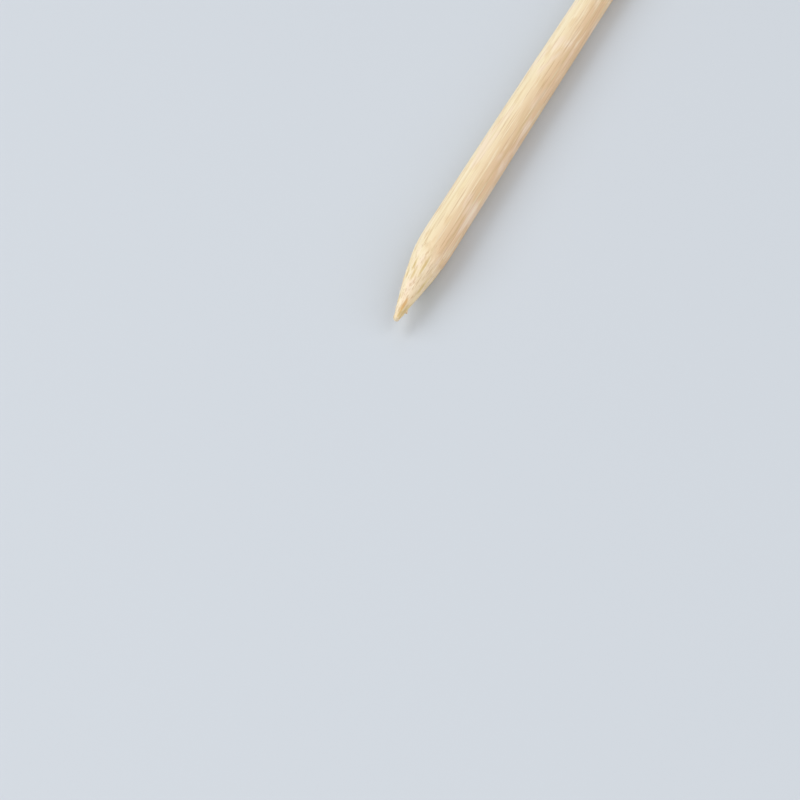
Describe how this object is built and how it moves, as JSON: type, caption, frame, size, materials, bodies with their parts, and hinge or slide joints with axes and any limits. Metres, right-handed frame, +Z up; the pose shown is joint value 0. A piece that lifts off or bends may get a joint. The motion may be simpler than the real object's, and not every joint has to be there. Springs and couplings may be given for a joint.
{
  "type": "bamboo skewer",
  "caption": "Straight round bamboo skewer with a square-sawn butt and a long, slightly off-centre ground point with a blunt rounded tip.",
  "frame": {"origin": "centre of the sawn butt face", "axes": "+X along the stick from butt to point, +Z up as the stick lies flat, +Y to the side the tip leans to"},
  "size_m": [0.3, 0.0065, 0.005],
  "materials": {
    "bamboo": "planed and tumbled smooth, bare"
  },
  "bodies": {
    "root": {"skewer": "bamboo"}
  },
  "joints": []
}
